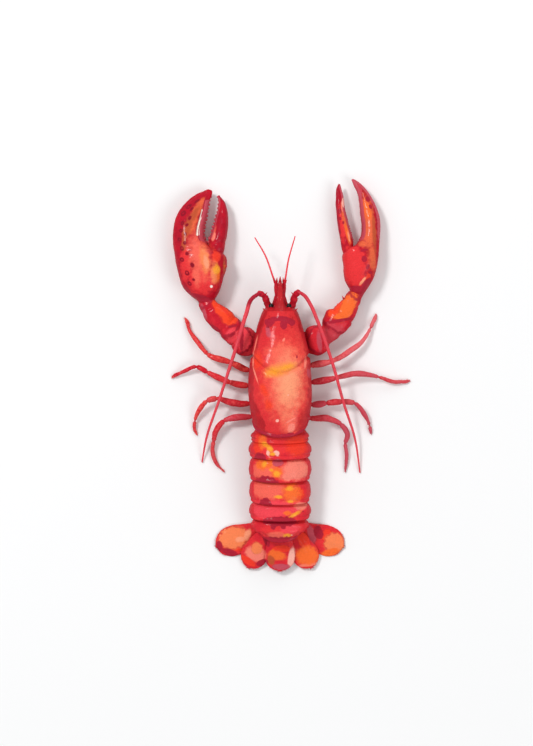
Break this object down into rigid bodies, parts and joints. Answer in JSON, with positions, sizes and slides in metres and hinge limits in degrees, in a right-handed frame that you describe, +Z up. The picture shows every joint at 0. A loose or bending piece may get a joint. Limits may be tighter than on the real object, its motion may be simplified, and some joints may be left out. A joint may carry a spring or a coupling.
{
  "type": "cooked lobster",
  "caption": "Whole cooked lobster lying on its belly, with a heavy crusher claw, a slim cutter claw, walking legs, swept-back feelers and a spread tail fan.",
  "frame": {"origin": "middle of the flat underside of the breast plate, on the table", "axes": "+Y towards the head, along the body; +Z up, out of the back; -X is the lobster's left, the crusher claw's side"},
  "size_m": [0.2173, 0.3532, 0.052],
  "materials": {
    "body_shell": "cooked shell, crimson at the flanks and salmon along the back, glossy and mottled",
    "tail_shell": "cooked shell, red to salmon with yellow-orange blotches and dark red rims, glossy",
    "fan_shell": "thin cooked shell, orange in the middle and red at the edges, ribbed",
    "claw_shell": "thick cooked shell, crimson with an orange band and dark red oval spots, glossy",
    "arm_shell": "cooked shell, dark red near the body and orange at the wrists, glossy",
    "leg_shell": "cooked shell, crimson to dusky rose, satin",
    "feeler": "ringed and flexible, rose pink, satin",
    "eye": "black, wet and glossy"
  },
  "bodies": {
    "root": {"antenna_base_left": "feeler", "antenna_base_right": "feeler", "antenna_left": "feeler", "antenna_right": "feeler", "antennule_left": "feeler", "antennule_right": "feeler", "breast_plate": "leg_shell", "carapace": "body_shell", "crusher_elbow": "arm_shell", "crusher_palm": "claw_shell", "crusher_shoulder": "arm_shell", "crusher_thumb": "claw_shell", "crusher_wrist": "arm_shell", "cutter_elbow": "arm_shell", "cutter_palm": "claw_shell", "cutter_shoulder": "arm_shell", "cutter_thumb": "claw_shell", "cutter_wrist": "arm_shell", "eye_left": "eye", "eye_right": "eye", "leg_left_1_lower": "leg_shell", "leg_left_1_upper": "leg_shell", "leg_left_2_lower": "leg_shell", "leg_left_2_upper": "leg_shell", "leg_left_3_lower": "leg_shell", "leg_left_3_upper": "leg_shell", "leg_left_4_lower": "leg_shell", "leg_left_4_upper": "leg_shell", "leg_right_1_lower": "leg_shell", "leg_right_1_upper": "leg_shell", "leg_right_2_lower": "leg_shell", "leg_right_2_upper": "leg_shell", "leg_right_3_lower": "leg_shell", "leg_right_3_upper": "leg_shell", "leg_right_4_lower": "leg_shell", "leg_right_4_upper": "leg_shell", "mouth_leg_left": "leg_shell", "mouth_leg_right": "leg_shell", "tail_fan_inner_left": "fan_shell", "tail_fan_inner_right": "fan_shell", "tail_fan_middle": "fan_shell", "tail_fan_outer_left": "fan_shell", "tail_fan_outer_right": "fan_shell", "tail_segment_1": "tail_shell", "tail_segment_2": "tail_shell", "tail_segment_3": "tail_shell", "tail_segment_4": "tail_shell", "tail_segment_5": "tail_shell", "tail_segment_6": "tail_shell"}
  },
  "joints": []
}
